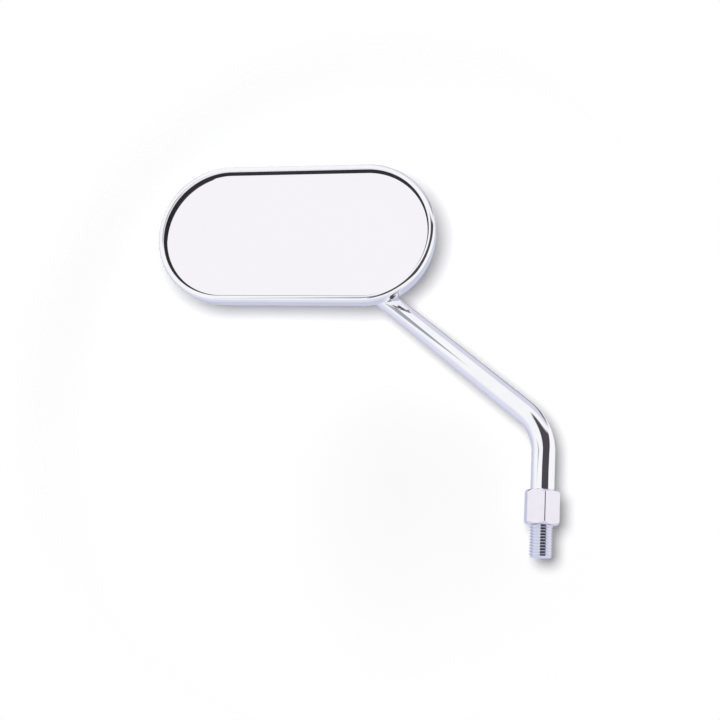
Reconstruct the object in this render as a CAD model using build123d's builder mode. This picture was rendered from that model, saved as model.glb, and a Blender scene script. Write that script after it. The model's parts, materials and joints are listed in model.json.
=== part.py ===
from build123d import *
import math
import os

# Motorcycle mirror: an obround head on a bent rod stem with a threaded end.
# Millimetres. Z runs up the threaded end, X to the right of the picture,
# and the glass looks towards -Y. The origin is on the thread axis, on the
# plane of the lock nut's lower face.

# threaded end and lock nut
thread_radius = 5.0
thread_free = 14.0
thread_chamfer = 1.0
relief_radius = 4.6
relief_length = 1.2
runout_length = 1.0
nut_height = 14.6
nut_flats = 14.0
nut_clearance = 0.12
nut_corner_angle = -78.0
nut_chamfer_angle = 40.0
nut_face_inset = 0.35
nut_bore_chamfer = 0.6

# stem rod
post_radius = 5.1
bend_height = 42.2
bend_radius = 23.0
stem_slope = 37.8
arm_end_radius = 4.6
arm_length = 95.0
shoulder_length = 1.6
neck_radius = 3.2
neck_length = 10.0
spigot_radius = 2.4
neck_sink = 0.3
spigot_recess = 0.2

# ball joint
ball_radius = 6.3
ball_bore_clearance = 0.03
seat_gap = 0.1
seat_thickness = 1.0
seat_parting = 1.7
joint_tilt = 5.25
joint_lean = 4.5
joint_roll = 4.0
neck_clearance = 0.2
cradle_wall = 1.8
cradle_flat_angle = 20.0

# clamp plate, screws and washers
plate_thickness = 1.1
plate_level = 3.0
plate_ear_radius = 3.6
plate_rim = 1.6
plate_edge_gap = 0.3
screw_circle = 11.2
screw_angles = (110.0, 180.0, 235.0)
screw_radius = 1.5
screw_length = 6.0
screw_head_radius = 2.75
screw_head_height = 2.0
screw_head_round = 0.9
screw_recess_width = 0.7
screw_recess_depth = 1.1
screw_fit = 0.05
plate_hole_clearance = 0.2
boss_radius = 2.9
washer_thickness = 0.7
washer_width = 1.15
washer_slit = 0.5

# mirror head
half_straight = 32.86
ball_offset = 0.0
ball_drop = 20.185
lip_radius = 30.47
lip_front = 17.0
rim_width = 2.6
rim_round = 2.0
lip_round = 0.5
flange_depth = 2.6
skirt_thickness = 0.6
skirt_length = 1.7
seam_gap = 0.1
tongue_thickness = 0.75
gasket_show = 0.6
gasket_thickness = 0.5
glass_thickness = 2.0
glass_cover = 1.0
pad_thickness = 1.0
pad_inset = 0.4
edge_gap = 0.15
ledge_width = 2.2
back_depth = 15.0
back_wall = 2.0

# places worked out from the sizes above
slope = math.radians(stem_slope)
arm_dir = Vector(-math.cos(slope), 0, math.sin(slope))
arm_side = Vector(math.sin(slope), 0, math.cos(slope))
corner = Vector(0, 0, bend_height)
bend_turn = 90.0 - stem_slope
bend_run = bend_radius * math.tan(math.radians(bend_turn / 2))
bend_start = bend_height - bend_run
ball_distance = arm_length + neck_length
ball_at = corner + arm_dir * ball_distance
arm_plane = Plane(origin=corner, x_dir=arm_dir, z_dir=(0, 1, 0))
arm_axis = Axis(corner, arm_dir)
ball_plane = Plane(origin=ball_at, x_dir=arm_dir * -1, z_dir=(0, -1, 0))
cradle_plane = Plane(origin=ball_at, x_dir=arm_side, z_dir=arm_dir * -1)
right_x = ball_at.X - ball_offset
head_x = right_x - half_straight
left_x = head_x - half_straight
head_z = ball_at.Z + ball_drop
left_plane = Plane(origin=(left_x, 0, head_z), x_dir=(0, 0, 1), z_dir=(1, 0, 0))
right_plane = Plane(origin=(right_x, 0, head_z), x_dir=(0, 0, 1), z_dir=(1, 0, 0))
lower_plane = Plane(origin=(right_x, 0, head_z), x_dir=(0, 0, -1), z_dir=(-1, 0, 0))
left_axis = Axis((left_x, 0, head_z), (0, -1, 0))
right_axis = Axis((right_x, 0, head_z), (0, 1, 0))

outer_radius = lip_radius + rim_width
flange_back = lip_front - flange_depth
skirt_inner = outer_radius - skirt_thickness
shell_radius = outer_radius - seam_gap
tongue_radius = skirt_inner - seam_gap
pocket_radius = tongue_radius - tongue_thickness
crease = flange_back - skirt_length - seam_gap
glass_front = flange_back - gasket_thickness
glass_radius = min(lip_radius + glass_cover, pocket_radius - edge_gap)
glass_back = glass_front - glass_thickness
pad_back = glass_back - pad_thickness
cavity_radius = pocket_radius - ledge_width
neck_seat = math.sqrt(ball_radius**2 - neck_radius**2) - neck_sink
spigot_end = math.sqrt(ball_radius**2 - spigot_radius**2) - spigot_recess
seat_inner = ball_radius + seat_gap
seat_outer = seat_inner + seat_thickness
socket_radius = seat_outer + seat_gap
cradle_radius = socket_radius + cradle_wall
dimple_radius = socket_radius + plate_thickness
tilt = math.tan(math.radians(joint_tilt))
secant = 1 / math.cos(math.radians(joint_tilt))
shoulder_swing = arm_end_radius * math.sin(math.radians(joint_tilt))
lean = math.radians(joint_lean)


# draws a half section, x outward from the middle line and y to the front,
# round the whole obround head
def obround(section, mode=Mode.ADD):
    with BuildSketch(right_plane) as right_end:
        add(section)
    revolve(right_end.sketch, axis=right_axis, revolution_arc=180, mode=mode)
    with BuildSketch(left_plane) as left_end:
        add(section)
    revolve(left_end.sketch, axis=left_axis, revolution_arc=180, mode=mode)
    extrude(left_end.sketch, amount=2 * half_straight, mode=mode)
    with BuildSketch(lower_plane) as lower_run:
        add(section)
    extrude(lower_run.sketch, amount=2 * half_straight, mode=mode)


# room for the neck and arm when the head turns on the ball: an oval funnel, wide
# for the roll; it leans to the back, because the head tips further that way
def neck_room():
    near = ball_radius / 2
    far = 3 * neck_length
    spread = neck_length * tilt + neck_clearance
    shoulder = neck_length - shoulder_swing - neck_clearance
    side = [
        (near, neck_radius * secant + near * tilt + neck_clearance),
        (shoulder - shoulder_length, neck_radius * secant + spread),
        (shoulder, arm_end_radius * secant + spread),
        (far, post_radius * secant + far * tilt + neck_clearance),
    ]
    for end in (-1, 1):
        turn = math.radians(stem_slope + end * joint_roll)
        flat = Vector(math.cos(turn), 0, -math.sin(turn)) * math.cos(lean)
        outward = flat + Vector(0, math.sin(lean), 0)
        across = Vector(math.sin(turn), 0, math.cos(turn))
        end_plane = Plane(origin=ball_at, x_dir=outward, z_dir=across)
        with BuildSketch(end_plane) as half:
            with BuildLine():
                Polyline((near, 0), *side, (far, 0), close=True)
            make_face()
        revolve(
            half.sketch,
            axis=Axis(ball_at, outward * -end),
            revolution_arc=180,
            mode=Mode.SUBTRACT,
        )
    with BuildSketch(end_plane) as middle:
        with BuildLine():
            Polyline(*side, *[(run, -out) for run, out in reversed(side)], close=True)
        make_face()
    revolve(
        middle.sketch,
        axis=Axis(ball_at, (0, -1, 0)),
        revolution_arc=2 * joint_roll,
        mode=Mode.SUBTRACT,
    )


# stem: threaded end, post, bend, tapering arm and neck
with BuildPart() as stem:
    with BuildSketch(Plane.XZ):
        with BuildLine():
            Polyline(
                (0, -thread_free),
                (thread_radius - thread_chamfer, -thread_free),
                (thread_radius, thread_chamfer - thread_free),
                (thread_radius, 0),
                (relief_radius, 0),
                (relief_radius, relief_length),
                (thread_radius, relief_length),
                (thread_radius, nut_height),
                (post_radius, nut_height + runout_length),
                (post_radius, bend_start),
                (0, bend_start),
                close=True,
            )
        make_face()
    revolve(axis=Axis.Z)
    with BuildSketch(Plane.XY.offset(bend_start)):
        Circle(post_radius)
    revolve(
        axis=Axis((-bend_radius, 0, bend_start), (0, -1, 0)),
        revolution_arc=bend_turn,
    )
    with BuildSketch(arm_plane):
        with BuildLine():
            Polyline(
                (bend_run, 0),
                (bend_run, post_radius),
                (arm_length, arm_end_radius),
                (arm_length + shoulder_length, neck_radius),
                (ball_distance - neck_seat, neck_radius),
                (ball_distance - neck_seat, spigot_radius),
                (ball_distance + spigot_end, spigot_radius),
                (ball_distance + spigot_end, 0),
                close=True,
            )
        make_face()
    revolve(axis=arm_axis)
stem.part.label = "stem"

# lock nut: long hexagon, chamfered at both ends
nut_face = nut_flats / 2 - nut_face_inset
nut_corner = nut_flats / math.sqrt(3)
nut_drop = (nut_corner - nut_face) * math.tan(math.radians(nut_chamfer_angle))
nut_bore = thread_radius + nut_clearance
with BuildPart() as lock_nut:
    with BuildSketch(Plane.XY):
        RegularPolygon(nut_flats / 2, 6, major_radius=False, rotation=nut_corner_angle)
    extrude(amount=nut_height)
    with BuildSketch(Plane.XZ):
        with BuildLine():
            Polyline(
                (0, 0),
                (nut_face, 0),
                (nut_corner, nut_drop),
                (nut_corner, nut_height - nut_drop),
                (nut_face, nut_height),
                (0, nut_height),
                close=True,
            )
        make_face()
    revolve(axis=Axis.Z, mode=Mode.INTERSECT)
    with BuildSketch(Plane.XY):
        Circle(nut_bore)
    extrude(amount=nut_height, mode=Mode.SUBTRACT)
    with BuildSketch(Plane.XZ):
        with BuildLine():
            Polyline(
                (0, 0),
                (nut_bore + nut_bore_chamfer, 0),
                (nut_bore, nut_bore_chamfer),
                (0, nut_bore_chamfer),
                close=True,
            )
        make_face()
    revolve(axis=Axis.Z, mode=Mode.SUBTRACT)
lock_nut.part.label = "lock_nut"

# pivot ball, pressed and riveted on the stem's end
with BuildPart() as pivot_ball:
    with Locations(ball_at):
        Sphere(ball_radius)
    with BuildSketch(arm_plane):
        with BuildLine():
            Polyline(
                (ball_distance - ball_radius - seat_gap, 0),
                (ball_distance - ball_radius - seat_gap, neck_radius + ball_bore_clearance),
                (ball_distance - neck_seat, neck_radius + ball_bore_clearance),
                (ball_distance - neck_seat, spigot_radius + ball_bore_clearance),
                (ball_distance + ball_radius, spigot_radius + ball_bore_clearance),
                (ball_distance + ball_radius, 0),
                close=True,
            )
        make_face()
    revolve(axis=arm_axis, mode=Mode.SUBTRACT)
pivot_ball.part.label = "pivot_ball"

# nylon seats, one behind the ball and one in front of it
with BuildPart() as rear_ball_seat:
    with Locations(ball_at):
        Sphere(seat_outer)
        Sphere(seat_inner, mode=Mode.SUBTRACT)
    with BuildSketch(ball_plane.offset(-seat_parting)):
        Circle(seat_outer + seat_gap)
    extrude(amount=2 * seat_outer, mode=Mode.SUBTRACT)
    neck_room()
rear_ball_seat.part.label = "rear_ball_seat"

with BuildPart() as front_ball_seat:
    with Locations(ball_at):
        Sphere(seat_outer)
        Sphere(seat_inner, mode=Mode.SUBTRACT)
    with BuildSketch(ball_plane.offset(seat_parting)):
        Circle(seat_outer + seat_gap)
    extrude(amount=-2 * seat_outer, mode=Mode.SUBTRACT)
    neck_room()
front_ball_seat.part.label = "front_ball_seat"

# clamp plate: pressed dimple over the ball, three ears for the screws
screw_spots = [
    (
        screw_circle * math.cos(math.radians(turn)),
        screw_circle * math.sin(math.radians(turn)),
    )
    for turn in screw_angles
]
plate_foot = math.sqrt(dimple_radius**2 - plate_level**2) + plate_rim
cavity_depth = pad_back + back_depth - back_wall
cavity_at_plate = cavity_radius * math.sqrt(1 - ((pad_back - plate_level) / cavity_depth) ** 2)
front_plane = Plane(origin=(head_x, 0, head_z), x_dir=(1, 0, 0), z_dir=(0, -1, 0))
with BuildPart() as clamp_plate:
    with Locations(ball_at):
        Sphere(dimple_radius)
    with BuildSketch(ball_plane.offset(plate_level)):
        Circle(dimple_radius + plate_rim)
    extrude(amount=-plate_level - dimple_radius, mode=Mode.SUBTRACT)
    with BuildSketch(ball_plane.offset(plate_level)):
        Circle(plate_foot)
        with Locations(*screw_spots):
            Circle(plate_ear_radius)
        make_hull()
    extrude(amount=plate_thickness)
    with BuildSketch(front_plane.offset(plate_level)):
        SlotCenterToCenter(2 * half_straight, 4 * cavity_at_plate)
        SlotCenterToCenter(
            2 * half_straight, 2 * (cavity_at_plate - plate_edge_gap), mode=Mode.SUBTRACT
        )
    extrude(amount=plate_thickness, mode=Mode.SUBTRACT)
    with Locations(ball_at):
        Sphere(socket_radius, mode=Mode.SUBTRACT)
    with BuildSketch(ball_plane.offset(plate_level)):
        with Locations(*screw_spots):
            Circle(screw_radius + plate_hole_clearance)
    extrude(amount=plate_thickness, mode=Mode.SUBTRACT)
    neck_room()
clamp_plate.part.label = "clamp_plate"

# spring washers under the screw heads
washer_level = plate_level + plate_thickness
washer_inner = screw_radius + plate_hole_clearance
with BuildPart() as spring_washers:
    with BuildSketch(ball_plane.offset(washer_level)):
        with Locations(*screw_spots):
            Circle(washer_inner + washer_width)
            Circle(washer_inner, mode=Mode.SUBTRACT)
            with Locations((washer_inner + washer_width / 2, 0)):
                Rectangle(2 * washer_width, washer_slit, mode=Mode.SUBTRACT)
    extrude(amount=washer_thickness)
spring_washers.part.label = "spring_washers"

# clamp screws: shank and pan head with a cross recess
head_level = washer_level + washer_thickness
with BuildPart() as clamp_screws:
    with BuildSketch(ball_plane.offset(head_level)):
        with Locations(*screw_spots):
            Circle(screw_head_radius)
    extrude(amount=screw_head_height)
    head_tops = faces().filter_by(Axis.Y).group_by(Axis.Y)[0]
    fillet(head_tops.edges(), screw_head_round)
    with BuildSketch(ball_plane.offset(head_level)):
        with Locations(*screw_spots):
            Circle(screw_radius)
    extrude(amount=-screw_length)
    with BuildSketch(ball_plane.offset(head_level + screw_head_height)):
        with Locations(*screw_spots):
            Rectangle(screw_head_radius, screw_recess_width)
            Rectangle(screw_recess_width, screw_head_radius)
    extrude(amount=-screw_recess_depth, mode=Mode.SUBTRACT)
clamp_screws.part.label = "clamp_screws"

# housing: domed back with a ledge for the glass, a cradle for the ball,
# three screw bosses and the opening for the stem
with BuildSketch(Plane.XY) as shell_section:
    with BuildLine():
        EllipticalCenterArc((0, crease), shell_radius, crease + back_depth, 270, arc_size=90)
        Polyline(
            (shell_radius, crease),
            (tongue_radius, crease),
            (tongue_radius, flange_back - seam_gap),
            (pocket_radius, flange_back - seam_gap),
            (pocket_radius, pad_back),
            (cavity_radius, pad_back),
        )
        EllipticalCenterArc(
            (0, pad_back),
            cavity_radius,
            cavity_depth,
            270,
            arc_size=90,
        )
        Line((0, back_wall - back_depth), (0, -back_depth))
    make_face()
screw_tip = head_level - screw_length
with BuildPart() as housing_shell:
    obround(shell_section.sketch)
    with BuildSketch(cradle_plane):
        with BuildLine():
            bowl = CenterArc((0, 0), cradle_radius, 0, cradle_flat_angle - 90)
            Polyline(
                bowl @ 0,
                (cradle_radius, plate_level),
                (0, plate_level),
                (0, (bowl @ 1).Y),
                bowl @ 1,
            )
        make_face()
    revolve(axis=Axis(ball_at, (0, 1, 0)))
    with BuildSketch(ball_plane.offset(plate_level)):
        with Locations(*screw_spots):
            Circle(boss_radius)
    extrude(amount=screw_tip - plate_level - back_wall / 2)
    with Locations(ball_at):
        Sphere(socket_radius, mode=Mode.SUBTRACT)
    with BuildSketch(ball_plane.offset(plate_level)):
        with Locations(*screw_spots):
            Circle(screw_radius + screw_fit)
    extrude(amount=screw_tip - plate_level - screw_fit, mode=Mode.SUBTRACT)
    neck_room()
housing_shell.part.label = "housing_shell"

# rim bezel: rounded ring with a flange over the glass and a skirt on the shell
with BuildSketch(Plane.XY) as bezel_section:
    with BuildLine():
        Polyline(
            (lip_radius, flange_back),
            (lip_radius, lip_front),
            (outer_radius, lip_front),
            (outer_radius, crease + seam_gap),
            (skirt_inner, crease + seam_gap),
            (skirt_inner, flange_back),
            close=True,
        )
    make_face()
    fillet(bezel_section.vertices().group_by(Axis.Y)[-1].sort_by(Axis.X)[-1], rim_round)
    fillet(bezel_section.vertices().group_by(Axis.Y)[-1].sort_by(Axis.X)[0], lip_round)
with BuildPart() as rim_bezel:
    obround(bezel_section.sketch)
rim_bezel.part.label = "rim_bezel"

# glass, its black gasket under the lip, and the foam pad behind it
with BuildSketch(Plane.XY) as gasket_section:
    with BuildLine():
        Polyline(
            (lip_radius - gasket_show, glass_front),
            (glass_radius, glass_front),
            (glass_radius, flange_back),
            (lip_radius - gasket_show, flange_back),
            close=True,
        )
    make_face()
with BuildPart() as glass_gasket:
    obround(gasket_section.sketch)
glass_gasket.part.label = "glass_gasket"

with BuildPart() as mirror_glass:
    with BuildSketch(front_plane.offset(glass_back)):
        SlotCenterToCenter(2 * half_straight, 2 * glass_radius)
    extrude(amount=glass_thickness)
mirror_glass.part.label = "mirror_glass"

with BuildPart() as backing_pad:
    with BuildSketch(front_plane.offset(pad_back)):
        SlotCenterToCenter(2 * half_straight, 2 * (glass_radius - pad_inset))
    extrude(amount=pad_thickness)
backing_pad.part.label = "backing_pad"

os.makedirs("parts", exist_ok=True)
export_step(stem.part, "parts/stem.step")
export_step(lock_nut.part, "parts/lock_nut.step")
export_step(pivot_ball.part, "parts/pivot_ball.step")
export_step(rear_ball_seat.part, "parts/rear_ball_seat.step")
export_step(front_ball_seat.part, "parts/front_ball_seat.step")
export_step(clamp_plate.part, "parts/clamp_plate.step")
export_step(spring_washers.part, "parts/spring_washers.step")
export_step(clamp_screws.part, "parts/clamp_screws.step")
export_step(housing_shell.part, "parts/housing_shell.step")
export_step(rim_bezel.part, "parts/rim_bezel.step")
export_step(glass_gasket.part, "parts/glass_gasket.step")
export_step(mirror_glass.part, "parts/mirror_glass.step")
export_step(backing_pad.part, "parts/backing_pad.step")
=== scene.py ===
import bmesh
import bpy
import json
import math
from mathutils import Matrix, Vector

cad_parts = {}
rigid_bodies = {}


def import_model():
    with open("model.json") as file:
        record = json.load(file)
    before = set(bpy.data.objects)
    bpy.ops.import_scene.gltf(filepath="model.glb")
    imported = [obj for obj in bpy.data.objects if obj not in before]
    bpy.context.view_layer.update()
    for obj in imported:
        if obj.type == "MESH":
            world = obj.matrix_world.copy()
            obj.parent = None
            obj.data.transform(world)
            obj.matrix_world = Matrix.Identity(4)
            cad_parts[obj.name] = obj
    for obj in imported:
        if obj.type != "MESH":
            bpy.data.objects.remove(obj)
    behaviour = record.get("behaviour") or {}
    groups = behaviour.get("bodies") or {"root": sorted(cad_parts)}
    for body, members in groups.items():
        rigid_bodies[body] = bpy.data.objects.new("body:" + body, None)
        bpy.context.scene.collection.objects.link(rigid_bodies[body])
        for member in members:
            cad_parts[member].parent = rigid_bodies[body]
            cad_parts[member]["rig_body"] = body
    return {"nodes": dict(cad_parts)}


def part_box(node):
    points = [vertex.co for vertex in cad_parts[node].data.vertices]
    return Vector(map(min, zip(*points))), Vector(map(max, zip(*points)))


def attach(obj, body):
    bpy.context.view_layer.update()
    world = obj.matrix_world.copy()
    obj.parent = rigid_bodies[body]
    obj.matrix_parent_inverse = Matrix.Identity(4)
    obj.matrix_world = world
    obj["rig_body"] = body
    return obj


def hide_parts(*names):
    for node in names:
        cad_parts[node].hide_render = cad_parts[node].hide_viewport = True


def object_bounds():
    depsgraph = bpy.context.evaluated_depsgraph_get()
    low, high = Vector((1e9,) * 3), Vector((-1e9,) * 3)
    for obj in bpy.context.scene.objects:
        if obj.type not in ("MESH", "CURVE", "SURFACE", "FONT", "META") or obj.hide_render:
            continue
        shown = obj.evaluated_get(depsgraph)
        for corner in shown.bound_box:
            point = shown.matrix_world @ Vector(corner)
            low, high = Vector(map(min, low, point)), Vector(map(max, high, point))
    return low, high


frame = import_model()
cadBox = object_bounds()
mm = 0.001
near = 0.01 * mm  # slack in a test on a place
clearance = 0.02 * mm  # how far a cutting tool stands clear of a piece
weldGap = 0.002 * mm
print("frame loaded:", len(frame["nodes"]), "nodes")


# small tools for working on one mesh at a time
def dropSelection():
    if bpy.context.mode != "OBJECT":
        bpy.ops.object.mode_set(mode="OBJECT")
    bpy.ops.object.select_all(action="DESELECT")


def hold(piece):
    dropSelection()
    piece.select_set(True)
    bpy.context.view_layer.objects.active = piece


def edit(piece):
    hold(piece)
    bpy.ops.object.mode_set(mode="EDIT")


def startPiece(name):
    piece = bpy.context.object
    piece.name = name
    piece.data.name = name
    bpy.ops.object.transform_apply(location=True, rotation=True, scale=True)
    return piece


# a cylinder, open for editing
def startCylinder(name, sides, radius, height, middle, turn=(0, 0, 0)):
    dropSelection()
    bpy.ops.mesh.primitive_cylinder_add(
        vertices=sides, radius=radius, depth=height, location=middle, rotation=turn
    )
    piece = startPiece(name)
    edit(piece)
    return piece


# selects the vertices, edges or faces that pass a test on their middle point
def pick(piece, kind, test):
    bpy.ops.mesh.select_mode(type=kind)
    bpy.ops.mesh.select_all(action="DESELECT")
    mesh = bmesh.from_edit_mesh(piece.data)
    if kind == "VERT":
        for vert in mesh.verts:
            vert.select_set(test(vert.co))
    elif kind == "EDGE":
        for edge in mesh.edges:
            edge.select_set(test((edge.verts[0].co + edge.verts[1].co) / 2))
    else:
        for face in mesh.faces:
            face.select_set(test(face.calc_center_median()))
    mesh.select_flush_mode()
    bmesh.update_edit_mesh(piece.data)


def pickAll():
    bpy.ops.mesh.select_all(action="SELECT")


def push(move):
    bpy.ops.mesh.extrude_region_move(TRANSFORM_OT_translate={"value": tuple(move)})


def scaleRound(centre, factor):
    bpy.ops.transform.resize(value=(factor, factor, factor), center_override=tuple(centre))


def cleanMesh(piece):
    edit(piece)
    pickAll()
    bpy.ops.mesh.remove_doubles(threshold=weldGap)
    bpy.ops.mesh.normals_make_consistent(inside=False)
    bpy.ops.object.mode_set(mode="OBJECT")


def smooth(piece, angle):
    hold(piece)
    bpy.ops.object.shade_smooth_by_angle(angle=angle)


def cut(piece, tool, operation):
    hold(piece)
    change = piece.modifiers.new("cut", "BOOLEAN")
    change.operation = operation
    change.solver = "EXACT"
    change.object = tool
    bpy.ops.object.modifier_apply(modifier="cut")
    bpy.data.objects.remove(tool)


def coat(piece, material):
    piece.data.materials.clear()
    piece.data.materials.append(material)


def finishPiece(piece, node, material):
    coat(piece, material)
    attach(piece, frame["nodes"][node]["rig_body"])
    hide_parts(node)
    print("piece", piece.name, len(piece.data.polygons), "faces")


# shader maths: a wire is a socket that adds Math nodes when it is reckoned with
class Wire:
    def __init__(self, tree, socket=None):
        self.tree = tree
        self.socket = socket

    # sets or links the sockets of a node
    def fill(self, node, inputs):
        for name, value in inputs.items():
            if isinstance(value, Wire):
                self.tree.links.new(value.socket, node.inputs[name])
            else:
                node.inputs[name].default_value = value

    def add(self, kind, settings, inputs, output=0):
        node = self.tree.nodes.new(kind)
        for name, value in settings.items():
            setattr(node, name, value)
        self.fill(node, inputs)
        return Wire(self.tree, node.outputs[output])

    # another output of the node that this wire comes from
    def beside(self, output):
        return Wire(self.tree, self.socket.node.outputs[output])

    def math(self, operation, first, second=0.0):
        return self.add("ShaderNodeMath", {"operation": operation}, {0: first, 1: second})

    def vector(self, operation, first, second, output="Value"):
        settings = {"operation": operation}
        return self.add("ShaderNodeVectorMath", settings, {0: first, 1: second}, output)

    def __add__(self, other):
        return self.math("ADD", self, other)

    def __radd__(self, other):
        return self.math("ADD", other, self)

    def __sub__(self, other):
        return self.math("SUBTRACT", self, other)

    def __rsub__(self, other):
        return self.math("SUBTRACT", other, self)

    def __mul__(self, other):
        return self.math("MULTIPLY", self, other)

    def __rmul__(self, other):
        return self.math("MULTIPLY", other, self)

    def __truediv__(self, other):
        return self.math("DIVIDE", self, other)

    def __rtruediv__(self, other):
        return self.math("DIVIDE", other, self)

    # smooth step from 0 at low to 1 at high
    def ease(self, low, high):
        return self.add(
            "ShaderNodeMapRange",
            {"interpolation_type": "SMOOTHSTEP"},
            {"Value": self, "From Min": low, "From Max": high},
        )

    # mixes two colours by this wire
    def blend(self, first, second):
        return self.add(
            "ShaderNodeMix",
            {"data_type": "RGBA"},
            {"Factor": self, 6: first, 7: second},
            output=2,
        )


def startMaterial(name):
    material = bpy.data.materials.new(name)
    material.use_nodes = True
    wire = Wire(material.node_tree)
    place = wire.add("ShaderNodeTexCoord", {}, {}, output="Object")
    return material, wire, place


# fills sockets of the material's own shader
def setShader(wire, inputs):
    wire.fill(wire.tree.nodes["Principled BSDF"], inputs)


def noise(wire, place, size, detail=3.0):
    inputs = {"Vector": place, "Scale": 1 / (size * mm), "Detail": detail}
    return wire.add("ShaderNodeTexNoise", {}, inputs)


def bump(wire, height, strength, depth):
    inputs = {"Strength": strength, "Distance": depth * mm, "Height": height}
    return wire.add("ShaderNodeBump", {}, inputs)


# bright chrome: a cool tint, faint haze left by polishing, and a very slight ripple;
# the rod's threaded end is darker, bluer and a little rougher
def makeChrome(name, finish):
    material, wire, place = startMaterial(name)
    haze = noise(wire, place, finish["hazeSize"], finish["hazeDetail"]).ease(*finish["hazeRange"])
    grain = noise(wire, place, finish["grainSize"], finish["grainDetail"])
    ripple = noise(wire, place, finish["rippleSize"], finish["rippleDetail"])
    colour = haze.blend(finish["colour"], finish["hazeColour"])
    dull = haze * finish["hazeRoughness"] + grain * finish["grainRoughness"] + finish["roughness"]
    # darker, bluer and rougher from the post down over the threaded end
    if "threadEndColour" in finish:
        height = wire.add("ShaderNodeSeparateXYZ", {}, {"Vector": place}, output="Z")
        threadEnd = 1 - height.ease(*finish["threadEndHeights"])
        colour = threadEnd.blend(colour, finish["threadEndColour"])
        dull = dull + threadEnd * finish["threadEndRoughness"]
    skin = bump(wire, ripple, finish["rippleStrength"], finish["rippleHeight"])
    setShader(wire, {"Metallic": 1.0, "Base Color": colour, "Roughness": dull, "Normal": skin})
    return material


stemFinish = {
    "colour": (0.935, 0.935, 0.96, 1),
    "hazeColour": (0.905, 0.908, 0.94, 1),
    "hazeSize": 9.0,
    "hazeDetail": 4.0,
    "hazeRange": (0.35, 0.75),
    "hazeRoughness": 0.03,
    "grainSize": 0.5,
    "grainDetail": 2.0,
    "grainRoughness": 0.02,
    "roughness": 0.025,
    "rippleSize": 6.0,
    "rippleDetail": 1.0,
    "rippleStrength": 0.1,
    "rippleHeight": 0.02,
}
shellFinish = dict(stemFinish, hazeSize=16.0, roughness=0.02)
rimFinish = dict(stemFinish, hazeSize=12.0, roughness=0.02)
rodFinish = dict(
    stemFinish,
    threadEndColour=(0.79, 0.8, 0.88, 1),
    threadEndHeights=(8.0 * mm, 12.0 * mm),
    threadEndRoughness=0.03,
)
nutFinish = dict(
    stemFinish,
    colour=(0.86, 0.83, 0.905, 1),
    hazeColour=(0.835, 0.805, 0.885, 1),
    hazeSize=4.0,
    grainRoughness=0.05,
    roughness=0.06,
)
chromedSteel = makeChrome("chromedSteel", rodFinish)
chromedShell = makeChrome("chromedShell", shellFinish)
chromedRim = makeChrome("chromedRim", rimFinish)
chromedNut = makeChrome("chromedNut", nutFinish)


# silvered glass: a clean mirror with a trace of dust haze
def makeSilver(name, finish):
    material, wire, place = startMaterial(name)
    haze = noise(wire, place, finish["hazeSize"]).ease(*finish["hazeRange"])
    colour = haze.blend(finish["colour"], finish["hazeColour"])
    dull = haze * finish["hazeRoughness"] + finish["roughness"]
    setShader(wire, {"Metallic": 1.0, "Base Color": colour, "Roughness": dull})
    return material


# so smooth that its reflections count as sharp, which the sky and the card look for
glassFinish = {
    "colour": (0.915, 0.9, 0.942, 1),
    "hazeColour": (0.905, 0.89, 0.935, 1),
    "hazeSize": 25.0,
    "hazeRange": (0.4, 0.8),
    "hazeRoughness": 0.003,
    "roughness": 0.0005,
}
silveredGlass = makeSilver("silveredGlass", glassFinish)


# matt solids: rubber, nylon and foam share a speckle and a fine skin
def makeMatt(name, finish):
    material, wire, place = startMaterial(name)
    speckle = noise(wire, place, finish["speckleSize"], finish["speckleDetail"])
    grain = noise(wire, place, finish["skinSize"], finish["skinDetail"])
    colour = speckle.ease(*finish["speckleRange"]).blend(finish["darkColour"], finish["colour"])
    dull = speckle * finish["speckleRoughness"] + finish["roughness"]
    skin = bump(wire, grain, finish["skinStrength"], finish["skinHeight"])
    setShader(wire, {"Base Color": colour, "Roughness": dull, "Normal": skin})
    return material


rubberFinish = {
    "colour": (0.012, 0.0115, 0.013, 1),
    "darkColour": (0.007, 0.007, 0.008, 1),
    "speckleSize": 1.5,
    "speckleDetail": 4.0,
    "speckleRange": (0.3, 0.7),
    "speckleRoughness": 0.15,
    "roughness": 0.55,
    "skinSize": 0.25,
    "skinDetail": 2.0,
    "skinStrength": 0.3,
    "skinHeight": 0.03,
}
nylonFinish = dict(
    rubberFinish,
    colour=(0.72, 0.69, 0.62, 1),
    darkColour=(0.66, 0.63, 0.56, 1),
    speckleSize=2.5,
    roughness=0.35,
)
foamFinish = dict(
    rubberFinish,
    colour=(0.075, 0.075, 0.078, 1),
    darkColour=(0.03, 0.03, 0.032, 1),
    speckleSize=0.5,
    roughness=0.8,
    skinSize=0.5,
    skinStrength=0.8,
    skinHeight=0.15,
)
blackRubber = makeMatt("blackRubber", rubberFinish)
naturalNylon = makeMatt("naturalNylon", nylonFinish)
cellFoam = makeMatt("cellFoam", foamFinish)


# plain steel: ground for the ball, zinc plated for plate, screws and washers
def makeSteel(name, finish):
    material, wire, place = startMaterial(name)
    patch = noise(wire, place, finish["patchSize"]).ease(*finish["patchRange"])
    grain = noise(wire, place, finish["grainSize"])
    colour = patch.blend(finish["darkColour"], finish["colour"])
    dull = grain * finish["grainRoughness"] + finish["roughness"]
    setShader(wire, {"Metallic": 1.0, "Base Color": colour, "Roughness": dull})
    return material


zincFinish = {
    "colour": (0.72, 0.72, 0.73, 1),
    "darkColour": (0.6, 0.6, 0.63, 1),
    "patchSize": 1.6,
    "patchRange": (0.35, 0.65),
    "grainSize": 0.3,
    "grainRoughness": 0.25,
    "roughness": 0.2,
}
ballFinish = dict(
    zincFinish,
    colour=(0.62, 0.62, 0.64, 1),
    darkColour=(0.55, 0.55, 0.57, 1),
    roughness=0.1,
)
platedSteel = makeSteel("platedSteel", zincFinish)
ballSteel = makeSteel("ballSteel", ballFinish)
print("materials made")

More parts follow.
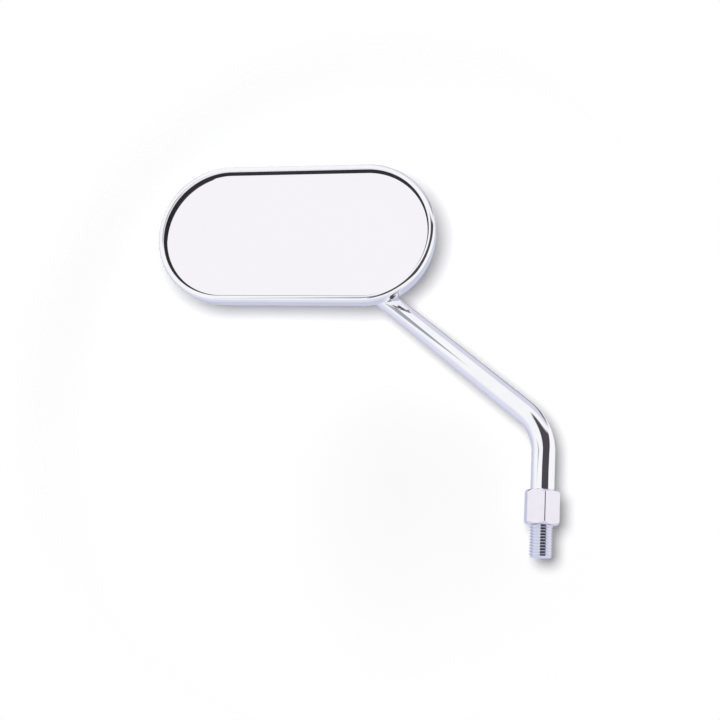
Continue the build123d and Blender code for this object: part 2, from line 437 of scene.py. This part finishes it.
# these nodes show as the solids themselves
for node, material in (
    ("housing_shell", chromedShell),
    ("pivot_ball", ballSteel),
    ("rear_ball_seat", naturalNylon),
    ("front_ball_seat", naturalNylon),
    ("clamp_plate", platedSteel),
    ("spring_washers", platedSteel),
    ("clamp_screws", platedSteel),
    ("backing_pad", cellFoam),
):
    coat(frame["nodes"][node], material)

# stem: threaded end, post, one bend, tapering arm, neck and spigot
stemSizes = {
    "sides": 64,
    "postRadius": 5.1 * mm,
    "coreInset": 0.05 * mm,
    "bendHeight": 42.2 * mm,
    "bendRadius": 23.0 * mm,
    "slope": math.radians(37.8),
    "bendSteps": 28,
    "armLength": 95.0 * mm,
    "armEndRadius": 4.6 * mm,
    "shoulder": 1.6 * mm,
    "neckRadius": 3.2 * mm,
    "neckLength": 10.0 * mm,
    "neckSink": 0.3 * mm,
    "spigotRadius": 2.4 * mm,
    "spigotRecess": 0.2 * mm,
    "ballRadius": 6.3 * mm,
    "smoothAngle": math.radians(25.0),
}
threadSizes = {
    "pitch": 1.25 * mm,
    "crestRadius": 5.0 * mm,
    "depth": 0.7 * mm,
    "crestFlat": 0.16 * mm,
    "rootFlat": 0.25 * mm,
    "freeEnd": -14.0 * mm,
    "chamfer": 1.0 * mm,
    "top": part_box("lock_nut")[1][2],
    "runout": 1.0 * mm,
    "fade": 1.6 * mm,
    "steps": 56,
    "weldGap": 0.001 * mm,
    "barSides": 96,
}


def makeThread(sizes):
    pitch = sizes["pitch"]
    root = sizes["crestRadius"] - sizes["depth"]
    flank = (pitch - sizes["crestFlat"] - sizes["rootFlat"]) / 2
    low = sizes["freeEnd"] - 2 * pitch
    turns = math.ceil((sizes["top"] - low) / pitch) + 1
    dropSelection()
    bpy.ops.mesh.primitive_plane_add(size=mm, location=(root, 0, low))
    thread = startPiece("thread")
    edit(thread)
    pickAll()
    bpy.ops.mesh.merge(type="CENTER")
    # one ridge, drawn from that point
    for outward, upward in (
        (0, sizes["rootFlat"]),
        (sizes["depth"], flank),
        (0, sizes["crestFlat"]),
        (-sizes["depth"], flank),
    ):
        bpy.ops.mesh.extrude_vertices_move(TRANSFORM_OT_translate={"value": (outward, 0, upward)})
    bpy.ops.object.mode_set(mode="OBJECT")
    wind = thread.modifiers.new("wind", "SCREW")
    wind.axis = "Z"
    wind.angle = 2 * math.pi
    wind.screw_offset = pitch
    wind.iterations = turns
    wind.steps = sizes["steps"]
    wind.render_steps = sizes["steps"]
    wind.use_merge_vertices = True
    wind.merge_threshold = sizes["weldGap"]
    bpy.ops.object.modifier_apply(modifier="wind")
    cleanMesh(thread)
    # both open ends close on the axis
    edit(thread)
    middle = (low + sizes["top"]) / 2
    for below, closing in ((True, low + pitch / 2), (False, low + (turns + 0.5) * pitch)):
        bpy.ops.mesh.select_mode(type="EDGE")
        bpy.ops.mesh.select_all(action="DESELECT")
        mesh = bmesh.from_edit_mesh(thread.data)
        for edge in mesh.edges:
            edge.select_set(edge.is_boundary and (edge.verts[0].co.z < middle) == below)
        bmesh.update_edit_mesh(thread.data)
        push((0, 0, 0))
        scaleRound((0, 0, closing), 0)
        bpy.ops.mesh.merge(type="CENTER")
    cleanMesh(thread)
    # a chamfered bar trims the winding to its length
    length = sizes["top"] - sizes["freeEnd"]
    reach = sizes["crestRadius"] + clearance
    barMiddle = (0, 0, sizes["freeEnd"] + length / 2)
    bar = startCylinder("threadBar", sizes["barSides"], reach, length, barMiddle)
    pick(bar, "EDGE", lambda at: at.z < sizes["freeEnd"] + near)
    bpy.ops.mesh.bevel(offset=sizes["chamfer"], segments=1, affect="EDGES")
    cut(thread, bar, "INTERSECT")
    return thread


def makeStem(sizes, threaded):
    along = Vector((-math.cos(sizes["slope"]), 0, math.sin(sizes["slope"])))
    corner = Vector((0, 0, sizes["bendHeight"]))
    turn = math.pi / 2 - sizes["slope"]
    run = sizes["bendRadius"] * math.tan(turn / 2)
    bendStart = sizes["bendHeight"] - run
    fadeStart = threaded["top"] - threaded["fade"]
    radius = threaded["crestRadius"] - threaded["depth"] - sizes["coreInset"]
    centre = Vector((0, 0, fadeStart))
    dropSelection()
    bpy.ops.mesh.primitive_circle_add(
        vertices=sizes["sides"], radius=radius, fill_type="NGON", location=centre
    )
    rod = startPiece("stemRod")
    edit(rod)
    pickAll()
    # straight run up from the thread, as (height, radius)
    for height, wide in (
        (threaded["top"], threaded["crestRadius"]),
        (threaded["top"] + threaded["runout"], sizes["postRadius"]),
        (bendStart, sizes["postRadius"]),
    ):
        push((0, 0, height - centre.z))
        centre.z = height
        scaleRound(centre, wide / radius)
        radius = wide
    bpy.ops.mesh.spin(
        steps=sizes["bendSteps"],
        angle=turn,
        center=(-sizes["bendRadius"], 0, bendStart),
        axis=(0, 1, 0),
    )
    ball = sizes["armLength"] + sizes["neckLength"]
    neckEnd = ball + sizes["neckSink"] - math.sqrt(sizes["ballRadius"]**2 - sizes["neckRadius"]**2)
    tip = ball - sizes["spigotRecess"] + math.sqrt(sizes["ballRadius"]**2 - sizes["spigotRadius"]**2)
    reached = run
    # straight arm, as (distance from the corner, radius)
    for distance, wide in (
        (sizes["armLength"], sizes["armEndRadius"]),
        (sizes["armLength"] + sizes["shoulder"], sizes["neckRadius"]),
        (neckEnd, sizes["neckRadius"]),
        (neckEnd, sizes["spigotRadius"]),
        (tip, sizes["spigotRadius"]),
    ):
        push(along * (distance - reached))
        reached = distance
        scaleRound(corner + along * distance, wide / radius)
        radius = wide
    cleanMesh(rod)
    return rod


thread = makeThread(threadSizes)
stemRod = makeStem(stemSizes, threadSizes)
cut(stemRod, thread, "UNION")
smooth(stemRod, stemSizes["smoothAngle"])
finishPiece(stemRod, "stem", chromedSteel)

# lock nut: long hexagon with rounded corners, turned chamfers and a countersunk bore
nutSizes = {
    "flats": 14.0 * mm,
    "cornerTurn": math.radians(12.0),
    "cornerRound": 0.35 * mm,
    "cornerSteps": 4,
    "faceRadius": 6.65 * mm,
    "chamferAngle": math.radians(40.0),
    "blankSides": 128,
    "bore": 5.12 * mm,
    "boreChamfer": 0.6 * mm,
    "boreSides": 96,
    "edgeRound": 0.12 * mm,
    "edgeSteps": 2,
    "edgeAngle": math.radians(20.0),
    "smoothAngle": math.radians(30.0),
}


def makeNut(sizes):
    low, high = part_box("lock_nut")
    base = low[2]
    height = high[2] - base
    middle = base + height / 2
    corner = sizes["flats"] / math.sqrt(3)
    nut = startCylinder("lockNut", 6, corner, height, (0, 0, middle), (0, 0, sizes["cornerTurn"]))
    pick(nut, "EDGE", lambda at: abs(at.z - middle) < near)
    bpy.ops.mesh.bevel(offset=sizes["cornerRound"], segments=sizes["cornerSteps"], affect="EDGES")
    # turned blank: its cones leave the arched chamfers on the flats
    wide = corner + clearance
    drop = (wide - sizes["faceRadius"]) * math.tan(sizes["chamferAngle"])
    straight = height - 2 * drop
    blank = startCylinder("nutBlank", sizes["blankSides"], wide, straight, (0, 0, middle))
    for end in (1, -1):
        pick(blank, "FACE", lambda at: (at.z - middle) * end > straight / 2 - near)
        push((0, 0, drop * end))
        scaleRound((0, 0, middle + end * height / 2), sizes["faceRadius"] / wide)
    cut(nut, blank, "INTERSECT")
    # drill with a flared foot, for the bore and its countersink
    bore = sizes["bore"]
    start = base + sizes["boreChamfer"]
    flare = 2 * sizes["boreChamfer"]
    drill = startCylinder("nutDrill", sizes["boreSides"], bore, height, (0, 0, start + height / 2))
    pick(drill, "FACE", lambda at: at.z < start + near)
    push((0, 0, -flare))
    scaleRound((0, 0, start - flare), (bore + flare) / bore)
    cut(nut, drill, "DIFFERENCE")
    cleanMesh(nut)
    soften = nut.modifiers.new("soften", "BEVEL")
    soften.width = sizes["edgeRound"]
    soften.segments = sizes["edgeSteps"]
    soften.limit_method = "ANGLE"
    soften.angle_limit = sizes["edgeAngle"]
    bpy.ops.object.modifier_apply(modifier="soften")
    # the flats shade flat up to their rounded edges
    smooth(nut, sizes["smoothAngle"])
    weigh = nut.modifiers.new("weigh", "WEIGHTED_NORMAL")
    weigh.keep_sharp = True
    bpy.ops.object.modifier_apply(modifier="weigh")
    return nut


lockNut = makeNut(nutSizes)
finishPiece(lockNut, "lock_nut", chromedNut)

# places of the head, read from the solids of the frame
glassLow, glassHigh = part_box("mirror_glass")
rimLow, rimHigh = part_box("rim_bezel")
gasketLow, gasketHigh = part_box("glass_gasket")
headX = (glassLow[0] + glassHigh[0]) / 2
headZ = (glassLow[2] + glassHigh[2]) / 2
glassRadius = (glassHigh[2] - glassLow[2]) / 2
halfStraight = (glassHigh[0] - glassLow[0]) / 2 - glassRadius
rimRadius = (rimHigh[2] - rimLow[2]) / 2


# starts an upright section above the right end: heights from the middle line, depths along Y
def startSection(name, inner, outer, front, back):
    dropSelection()
    bpy.ops.mesh.primitive_plane_add(
        size=1,
        location=(headX + halfStraight, (front + back) / 2, headZ + (inner + outer) / 2),
        rotation=(0, math.pi / 2, 0),
    )
    bpy.context.object.scale = (outer - inner, back - front, 1)
    section = startPiece(name)
    edit(section)
    return section


# carries the section's outline round both ends of the head
def sweepRound(piece, steps):
    pickAll()
    bpy.ops.mesh.delete(type="ONLY_FACE")
    pickAll()
    for side in (1, -1):
        bpy.ops.mesh.spin(
            steps=steps,
            angle=math.pi,
            center=(headX + side * halfStraight, 0, headZ),
            axis=(0, -1, 0),
        )
        push((-2 * halfStraight * side, 0, 0))
    cleanMesh(piece)


# rim bezel: rolled ring with a rounded front, a flange over the glass and a skirt
rimSizes = {
    "width": 2.6 * mm,
    "skirt": 0.6 * mm,
    "rimRound": 2.0 * mm,
    "rimSteps": 12,
    "lipRound": 0.2 * mm,
    "lipSteps": 3,
    "edgeRound": 0.15 * mm,
    "edgeSteps": 2,
    "flatAngle": math.radians(1.0),
    "steps": 72,
    "smoothAngle": math.radians(30.0),
}


def makeRim(sizes):
    front = rimLow[1]
    flangeBack = gasketLow[1]
    inner = headZ + rimRadius - sizes["skirt"]
    lip = headZ + rimRadius - sizes["width"]
    rim = startSection("rimBezel", rimRadius - sizes["skirt"], rimRadius, flangeBack, rimHigh[1])
    pick(rim, "EDGE", lambda at: at.y < flangeBack + near)
    push((0, front - flangeBack, 0))
    pick(rim, "EDGE", lambda at: abs(at.z - inner) < near and at.y < flangeBack - near)
    push((0, 0, sizes["skirt"] - sizes["width"]))
    pickAll()
    bpy.ops.mesh.dissolve_limited(angle_limit=sizes["flatAngle"])
    pick(rim, "VERT", lambda at: at.y < front + near and at.z > inner)
    bpy.ops.mesh.bevel(offset=sizes["rimRound"], segments=sizes["rimSteps"], affect="VERTICES")
    pick(rim, "VERT", lambda at: at.y < front + near and at.z < lip + near)
    bpy.ops.mesh.bevel(offset=sizes["lipRound"], segments=sizes["lipSteps"], affect="VERTICES")
    pick(rim, "VERT", lambda at: at.y > rimHigh[1] - near)
    bpy.ops.mesh.bevel(offset=sizes["edgeRound"], segments=sizes["edgeSteps"], affect="VERTICES")
    sweepRound(rim, sizes["steps"])
    return rim


rimBezel = makeRim(rimSizes)
smooth(rimBezel, rimSizes["smoothAngle"])
finishPiece(rimBezel, "rim_bezel", chromedRim)

# gasket: black bead between the lip and the glass
gasketSizes = {
    "show": 0.92 * mm,
    "round": 0.18 * mm,
    "roundSteps": 4,
    "steps": 72,
    "smoothAngle": math.radians(35.0),
}


def makeGasket(sizes):
    inner = rimRadius - rimSizes["width"] - sizes["show"]
    gasket = startSection("glassGasket", inner, glassRadius, gasketLow[1], gasketHigh[1])
    pick(gasket, "VERT", lambda at: at.z < headZ + inner + near)
    bpy.ops.mesh.bevel(offset=sizes["round"], segments=sizes["roundSteps"], affect="VERTICES")
    sweepRound(gasket, sizes["steps"])
    return gasket


glassGasket = makeGasket(gasketSizes)
smooth(glassGasket, gasketSizes["smoothAngle"])
finishPiece(glassGasket, "glass_gasket", blackRubber)

# mirror glass: ground flat, with a fine bevel round its edge
glassSizes = {
    "sides": 144,
    "bevel": 0.3 * mm,
    "bevelSteps": 2,
    "smoothAngle": math.radians(20.0),
}


def makeGlass(sizes):
    depth = glassHigh[1] - glassLow[1]
    middle = (headX, glassLow[1] + depth / 2, headZ)
    turn = (math.pi / 2, math.pi / sizes["sides"], 0)  # half a side round, so none straddles the middle
    glass = startCylinder("mirrorGlass", sizes["sides"], glassRadius, depth, middle, turn)
    for side in (1, -1):
        pick(glass, "VERT", lambda at: (at.x - headX) * side > 0)
        bpy.ops.transform.translate(value=(halfStraight * side, 0, 0))
    pick(glass, "EDGE", lambda at: abs(at.y - middle[1]) > depth / 2 - near)
    bpy.ops.mesh.bevel(offset=sizes["bevel"], segments=sizes["bevelSteps"], affect="EDGES")
    cleanMesh(glass)
    return glass


mirrorGlass = makeGlass(glassSizes)
smooth(mirrorGlass, glassSizes["smoothAngle"])
finishPiece(mirrorGlass, "mirror_glass", silveredGlass)

# studio: white all round, cool below and behind, grey overhead, and two dark flags for the chrome.
# aims are directions, ends and sides are degrees
skyLook = {
    "white": (1.0, 1.0, 1.0, 1),
    "cool": (0.76, 0.77, 0.89, 1),
    "coolAim": (-0.4, 0.55, -0.73),
    "coolRange": (0.1, 0.75),
    "back": (0.6, 0.615, 0.76, 1),
    "backAim": (-0.4, 0.92, 0.0),
    "backRange": (0.35, 0.92),
    "backEnds": (-32.0, 32.0),
    "backSoft": 13.0,
    "grey": (0.72, 0.7, 0.82, 1),
    "greyAim": (0.35, 0.15, 0.925),
    "greyRange": (0.78, 0.9),
    "dark": (0.075, 0.068, 0.08, 1),
    "barEnds": (33.0, 45.0),
    "barSoft": 3.0,
    "barRange": (0.15, 0.5),
    "flagSides": (-7.0, 59.0),
    "flagSoft": 1.5,
    "flagStraight": 5.0,
    "flagEnds": (-26.0, 28.0),
    "flagEndSoft": 3.0,
    "flagDrop": 8.0,
    "flagDropSides": (8.0, 22.0),
    "glassShare": 0.2,
    "fill": (0.21, 0.21, 0.21, 1),
}


def makeSky(look):
    world = bpy.data.worlds.new("studioSky")
    bpy.context.scene.world = world
    world.use_nodes = True
    wire = Wire(world.node_tree)
    aim = wire.add("ShaderNodeTexCoord", {}, {}, output="Generated")
    east = wire.add("ShaderNodeSeparateXYZ", {}, {"Vector": aim}, output="X")
    north = east.beside("Y")
    azimuth = wire.math("ARCTAN2", east, 0 - north) * math.degrees(1)
    elevation = wire.math("ARCSINE", east.beside("Z")) * math.degrees(1)

    def towards(side):
        return wire.vector("DOT_PRODUCT", aim, look[side + "Aim"]).ease(*look[side + "Range"])

    def above(value, end, soft):
        return value.ease(end - soft, end + soft)

    def between(value, ends, soft):
        return above(value, ends[0], soft) * (1 - above(value, ends[1], soft))

    room = towards("cool").blend(look["white"], look["cool"])
    room = towards("grey").blend(room, look["grey"])
    back = between(elevation, look["backEnds"], look["backSoft"]) * towards("back")
    room = back.blend(room, look["back"])
    # the flag stands upright at camera height, leans over above it, and hangs lower on its left
    lean = wire.math("MAXIMUM", elevation - look["flagStraight"], 0.0)
    drop = (1 - azimuth.ease(*look["flagDropSides"])) * look["flagDrop"]
    low, high = look["flagEnds"]
    flag = between(azimuth - lean, look["flagSides"], look["flagSoft"])
    flag = flag * above(elevation + drop, low, look["flagEndSoft"])
    flag = flag * (1 - above(elevation, high, look["flagEndSoft"]))
    # a dark bar high behind, for the shell's back
    bar = between(elevation, look["barEnds"], look["barSoft"]) * north.ease(*look["barRange"])
    camera = wire.add("ShaderNodeLightPath", {}, {}, output="Is Camera Ray")
    # sharp reflections are the mirror glass, which shows the flags faintly
    sharp = camera.beside("Is Singular Ray")
    flags = wire.math("MAXIMUM", bar, flag) * (1 - sharp * (1 - look["glassShare"]))
    room = flags.blend(room, look["dark"])
    # the camera sees white, reflections see the room, and all else gets a plain fill
    lit = camera.beside("Is Glossy Ray").blend(look["fill"], room)
    shown = camera.blend(lit, look["white"])
    wire.fill(world.node_tree.nodes["Background"], {"Color": shown, "Strength": 1.0})


makeSky(skyLook)


def mixSurface(wire, factor, first, second):
    mixed = wire.add("ShaderNodeMixShader", {}, {0: factor, 1: first, 2: second})
    wire.fill(wire.tree.nodes["Material Output"], {"Surface": mixed})


# pale stage: a floor well below and a sheet close behind that takes the soft shadow;
# both fade out, so no edge of theirs shows
paleFinish = {"roughness": 0.9, "mottleSize": 400.0, "mottle": 0.1}
floorLook = {
    "level": -250.0 * mm,
    "size": 2.4,
    "middle": (-0.09, 0.0, 0.0),
    "fade": (0.4, 1.1),
    "bright": (-0.09, 0.0, 0.0),
    "brightReach": 0.6,
    "colours": ((0.94, 0.94, 0.94, 1), (0.97, 0.97, 0.97, 1)),
}
sheetLook = {
    "behind": 2.0 * mm,
    "size": 0.6,
    "middle": (-0.09, 0.0, 0.07),
    "fade": (0.125, 0.185),
    "bright": (-0.045, 0.0, 0.03),
    "brightReach": 0.17,
    "colours": ((0.79, 0.79, 0.79, 1), (0.98, 0.98, 0.98, 1)),
}


def makePale(name, look, finish):
    material, wire, place = startMaterial(name)
    mottle = noise(wire, place, finish["mottleSize"]) * finish["mottle"]
    # paler away from the lamp's foot, to even out its light
    away = wire.vector("DISTANCE", place, look["bright"]).ease(0.0, look["brightReach"])
    colour = (mottle + away).blend(*look["colours"])
    setShader(
        wire,
        {"Base Color": colour, "Roughness": finish["roughness"], "Specular IOR Level": 0.0},
    )
    faded = wire.vector("DISTANCE", place, look["middle"]).ease(*look["fade"])
    behind = wire.add("ShaderNodeNewGeometry", {}, {}, output="Backfacing")
    clear = wire.math("MAXIMUM", faded, behind)
    solid = Wire(wire.tree, wire.tree.nodes["Principled BSDF"].outputs["BSDF"])
    mixSurface(wire, clear, solid, wire.add("ShaderNodeBsdfTransparent", {}, {}))
    return material


def makeStage(name, look, place, turn):
    dropSelection()
    bpy.ops.mesh.primitive_plane_add(size=look["size"], location=place, rotation=turn)
    stage = startPiece(name)
    coat(stage, makePale(name + "Pale", look, paleFinish))
    stage.visible_diffuse = False
    stage.visible_glossy = False
    stage.visible_shadow = False


floorX, floorY, _ = floorLook["middle"]
makeStage("floor", floorLook, (floorX, floorY, floorLook["level"]), (0, 0, 0))
sheetX, _, sheetZ = sheetLook["middle"]
sheetY = cadBox[1][1] + sheetLook["behind"]
makeStage("sheet", sheetLook, (sheetX, sheetY, sheetZ), (math.pi / 2, 0, 0))

# grey card in front of the head, seen only in the chrome: it shades the arm's middle line.
# it is broad at its root, narrows to its tip and is clear at its edges
cardLook = {
    "root": (-0.087, -0.15, 0.106),
    "tip": (-0.225, -0.15, 0.022),
    "tipGuard": 0.001,
    "halfWidth": 42.0 * mm,
    "edge": (0.6, 1.0),
    "rootSoft": 0.08,
    "tipClear": 0.5,
    "colours": ((0.2, 0.23, 0.3, 1), (0.28, 0.31, 0.39, 1)),
    "patchSize": 40.0,
    "patchRange": (0.3, 0.7),
}


def makeCard(look):
    root = Vector(look["root"])
    along = Vector(look["tip"]) - root
    reach = along.normalized().cross(Vector((0, 1, 0))) * look["halfWidth"]
    dropSelection()
    bpy.ops.mesh.primitive_plane_add(size=1.0)
    card = startPiece("greyCard")
    corners = (root - reach, root + reach, root + along - reach, root + along + reach)
    for vert, corner in zip(card.data.vertices, corners):
        vert.co = corner
    material, wire, place = startMaterial("cardGrey")
    patch = noise(wire, place, look["patchSize"]).ease(*look["patchRange"])
    glow = wire.add("ShaderNodeEmission", {}, {"Color": patch.blend(*look["colours"])})
    offset = wire.vector("SUBTRACT", place, root, output="Vector")
    length = wire.vector("DOT_PRODUCT", offset, along / along.length_squared)
    width = wire.vector("DOT_PRODUCT", offset, reach / reach.length_squared)
    width = wire.math("ABSOLUTE", width) / (1 + look["tipGuard"] - length)
    solid = (1 - width.ease(*look["edge"])) * length.ease(0.0, look["rootSoft"])
    solid = solid * (1 - length * look["tipClear"])
    # not seen in the mirror glass, whose reflections are sharp
    sharp = wire.add("ShaderNodeLightPath", {}, {}, output="Is Singular Ray")
    nothing = wire.add("ShaderNodeBsdfTransparent", {}, {})
    mixSurface(wire, solid * (1 - sharp), nothing, glow)
    coat(card, material)
    card.visible_camera = False
    card.visible_diffuse = False
    card.visible_shadow = False
    card.visible_transmission = False


makeCard(cardLook)

# a soft lamp beside the camera for the shadow on the sheet, and light from above for the floor
lampLook = {
    "place": (-0.052, -0.478, 0.038),
    "size": 0.21,
    "power": 2.4,
    "sky": 2.7,
    "skySoft": math.radians(14.0),
}


def addLamp(name, kind, place, power):
    dropSelection()
    bpy.ops.object.light_add(type=kind, location=place)
    lamp = bpy.context.object
    lamp.name = name
    lamp.data.energy = power
    lamp.visible_glossy = False
    return lamp


softLamp = addLamp("softLamp", "AREA", lampLook["place"], lampLook["power"])
softLamp.data.shape = "DISK"
softLamp.data.size = lampLook["size"]
lampAim = Vector(sheetLook["middle"]) - Vector(lampLook["place"])
softLamp.rotation_euler = lampAim.to_track_quat("-Z", "Y").to_euler()
topLight = addLamp("topLight", "SUN", (0, 0, 1), lampLook["sky"])
topLight.data.angle = lampLook["skySoft"]

# camera low in front of the post, looking up at the head
cameraLook = {
    "place": (25.037 * mm, -478.381 * mm, -38.274 * mm),
    "turn": (102.55632, -3.66692, 12.01274),
    "lens": 55.0,
    "sensor": 36.0,
    "clipStart": 10.0 * mm,
}
dropSelection()
bpy.ops.object.camera_add(location=cameraLook["place"])
camera = bpy.context.object
camera.rotation_euler = [math.radians(part) for part in cameraLook["turn"]]
camera.data.lens = cameraLook["lens"]
camera.data.sensor_width = cameraLook["sensor"]
camera.data.clip_start = cameraLook["clipStart"]
bpy.context.scene.camera = camera
bpy.context.scene.view_settings.view_transform = "Standard"
print("studio and camera set")
